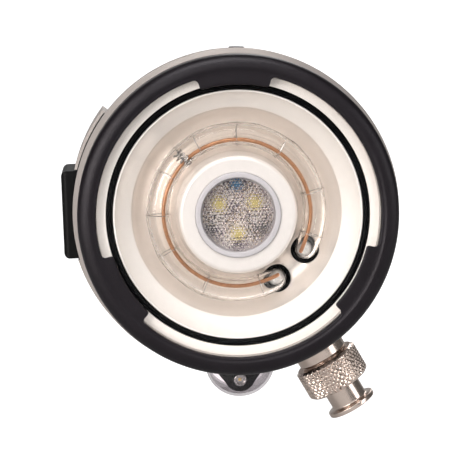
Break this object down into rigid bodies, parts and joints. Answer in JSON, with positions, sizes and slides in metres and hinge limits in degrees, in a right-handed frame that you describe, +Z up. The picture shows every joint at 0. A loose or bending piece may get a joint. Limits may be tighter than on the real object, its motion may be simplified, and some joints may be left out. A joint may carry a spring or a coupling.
{
  "type": "underwater strobe light",
  "caption": "Round underwater photo strobe with a ring flash tube, LED focus light, rubber front bumper, side mounting shoe, sync socket and rear controls.",
  "frame": {"origin": "mouth of the arm-mount hole, in the middle of the mounting shoe's outer face", "axes": "+Z up, the light shines towards -Y, the shoe faces -X"},
  "size_m": [0.1162, 0.137, 0.1339],
  "materials": {
    "bumper_rubber": "matte",
    "black_seal": "satin",
    "window_clear": "polished",
    "white_ring": "gloss",
    "reflector_white": "gloss",
    "lens_clear": "prismatic",
    "bezel_grey": "satin",
    "circuit_board": "satin",
    "led_white": "satin",
    "led_signal": "gloss",
    "aluminium_bare": "satin",
    "tube_glass": "polished",
    "electrode_grey": "satin",
    "trigger_copper": "enamelled",
    "loop_wire": "polished",
    "anodised_grey": "hard anodised",
    "black_anodised": "anodised",
    "stainless": "satin",
    "sensor_clear": "frosted",
    "black_plastic": "satin",
    "nickel": "warm nickel plate",
    "gold_contacts": "plated",
    "cell_label": "gloss",
    "capacitor_sleeve": "gloss"
  },
  "bodies": {
    "lamp_body": {"front_bumper": "bumper_rubber", "front_window": "window_clear", "window_seat_ring": "white_ring", "window_oring": "black_seal", "reflector": "reflector_white", "led_lens": "lens_clear", "led_bezel": "bezel_grey", "led_board": "aluminium_bare", "led_heatsink": "aluminium_bare", "white_leds": "led_white", "signal_leds": "led_signal", "flash_tube": "tube_glass", "tube_electrodes": "electrode_grey", "tube_ferrules": "electrode_grey", "tube_grommets": "black_seal", "trigger_wire": "trigger_copper", "trigger_loops": "loop_wire", "housing": "anodised_grey", "lock_ring": "black_plastic", "mount_shoe": "black_anodised", "shoe_screws": "stainless", "sensor_window": "sensor_clear", "sensor_shroud": "black_plastic", "photodiode": "stainless", "bulkhead_socket": "nickel", "bulkhead_oring": "black_seal", "contact_carrier": "black_plastic", "contact_pins": "gold_contacts", "bulkhead_nut": "nickel", "rear_cover": "anodised_grey", "rear_screws": "stainless", "rear_oring": "black_seal", "shaft_orings": "black_seal", "rotary_switches": "black_plastic", "button_spring": "stainless", "tact_switch": "black_plastic", "status_light": "window_clear", "battery_sleeve": "black_plastic", "battery_contact_board": "circuit_board", "battery_cells": "cell_label", "chassis_plate": "aluminium_bare", "hv_board": "circuit_board", "hv_posts": "aluminium_bare", "flash_capacitors": "capacitor_sleeve", "trigger_coil": "black_plastic", "transformer": "black_plastic", "main_board": "circuit_board", "board_spacers": "aluminium_bare"},
    "plug": {"sync_plug": "nickel", "plug_oring": "black_seal"},
    "nut": {"coupling_nut": "nickel"},
    "mode_dial": {"mode_knob": "black_anodised", "mode_shaft": "stainless"},
    "power_dial": {"power_knob": "black_anodised", "power_shaft": "stainless"},
    "button": {"test_button": "black_anodised"},
    "cap_carrier": {"cap_contact_plate": "black_plastic", "cap_contacts": "gold_contacts"},
    "cap": {"battery_cap": "black_anodised", "cap_oring": "black_seal"}
  },
  "joints": [
    {"name": "plug_travel", "type": "slide", "parent": "lamp_body", "child": "plug", "axis": [0.4818, 0, -0.8763], "range_m": [0, 0.006]},
    {"name": "nut_turn", "type": "hinge", "parent": "plug", "child": "nut", "pos_m": [0.09228, -0.008, -0.05871], "axis": [0.4818, 0, -0.8763], "range_deg": [0, 1440]},
    {"name": "mode_turn", "type": "hinge", "parent": "lamp_body", "child": "mode_dial", "pos_m": [0.039, 0.08, 0.02], "axis": [0, 1, 0], "range_deg": [-60, 120]},
    {"name": "power_turn", "type": "hinge", "parent": "lamp_body", "child": "power_dial", "pos_m": [0.081, 0.08, 0.02], "axis": [0, 1, 0], "range_deg": [-150, 150]},
    {"name": "button_press", "type": "slide", "parent": "lamp_body", "child": "button", "axis": [0, -1, 0], "range_m": [0, 0.0015], "stiffness_N_per_m": 400, "springref_m": -0.0005, "deforming": ["button_spring"]},
    {"name": "cap_travel", "type": "slide", "parent": "lamp_body", "child": "cap_carrier", "axis": [0, 1, 0], "range_m": [0, 0.006]},
    {"name": "cap_turn", "type": "hinge", "parent": "cap_carrier", "child": "cap", "pos_m": [0.06, 0.084, -0.02], "axis": [0, 1, 0], "range_deg": [0, 1440]}
  ],
  "couplings": [
    {"joint": "nut_turn", "follows": "plug_travel", "rad_per_m": 4188.8},
    {"joint": "cap_travel", "follows": "cap_turn", "m_per_rad": 0.00023873}
  ]
}
